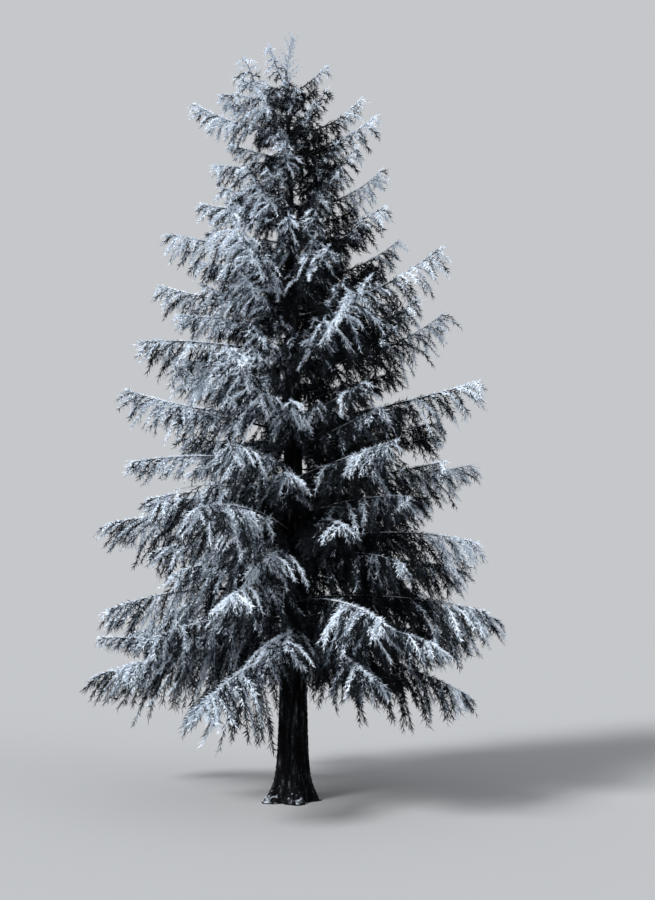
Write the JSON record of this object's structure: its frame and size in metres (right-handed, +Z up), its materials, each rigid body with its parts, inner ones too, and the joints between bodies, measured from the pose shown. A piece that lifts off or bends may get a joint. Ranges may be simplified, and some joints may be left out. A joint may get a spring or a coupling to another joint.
{
  "type": "norway spruce tree",
  "caption": "Frosted spruce, whole tree: flared leaning trunk cut flat at ground level, layered boughs that arch and droop, and a narrow cone of hanging sprays up to a thin leader.",
  "frame": {"origin": "centre of the flat cut under the trunk, at ground level", "axes": "+Z straight up; +X to the right and -Y towards the viewer in the picture's view; the trunk leans a little towards -X with height"},
  "size_m": [6.4374, 5.83, 12],
  "materials": {
    "bark": "rough dark scaly bark, dry, with pale frost in patches",
    "needles": "matt blue-grey frosted needles, pale at the outer sprays and near-black inside the crown"
  },
  "bodies": {
    "root": {"trunk": "bark", "bough_tier01_back": "bark", "bough_tier01_front": "bark", "bough_tier01_left": "bark", "bough_tier01_right": "bark", "bough_tier02_back": "bark", "bough_tier02_front": "bark", "bough_tier02_left": "bark", "bough_tier02_right": "bark", "bough_tier03_back": "bark", "bough_tier03_front": "bark", "bough_tier03_left": "bark", "bough_tier03_right": "bark", "foliage_leader": "needles", "foliage_tier01_back": "needles", "foliage_tier01_front": "needles", "foliage_tier01_left": "needles", "foliage_tier01_right": "needles", "foliage_tier02_back": "needles", "foliage_tier02_front": "needles", "foliage_tier02_left": "needles", "foliage_tier02_right": "needles", "foliage_tier03_back": "needles", "foliage_tier03_front": "needles", "foliage_tier03_left": "needles", "foliage_tier03_right": "needles", "foliage_tier04_back": "needles", "foliage_tier04_front": "needles", "foliage_tier04_left": "needles", "foliage_tier04_right": "needles", "foliage_tier05_back": "needles", "foliage_tier05_front": "needles", "foliage_tier05_left": "needles", "foliage_tier05_right": "needles", "foliage_tier06_back": "needles", "foliage_tier06_front": "needles", "foliage_tier06_left": "needles", "foliage_tier06_right": "needles", "foliage_tier07_back": "needles", "foliage_tier07_front": "needles", "foliage_tier07_left": "needles", "foliage_tier07_right": "needles", "foliage_tier08_back": "needles", "foliage_tier08_left": "needles", "foliage_tier08_right": "needles", "foliage_tier09_front": "needles", "foliage_tier09_left": "needles", "foliage_tier09_right": "needles", "foliage_tier10_back": "needles", "foliage_tier10_left": "needles", "foliage_tier10_right": "needles", "foliage_tier11_front": "needles", "foliage_tier11_left": "needles", "foliage_tier11_right": "needles", "foliage_tier12_back": "needles", "foliage_tier12_left": "needles", "foliage_tier12_right": "needles", "foliage_tier13_front": "needles", "foliage_tier13_left": "needles", "foliage_tier13_right": "needles"}
  },
  "joints": []
}
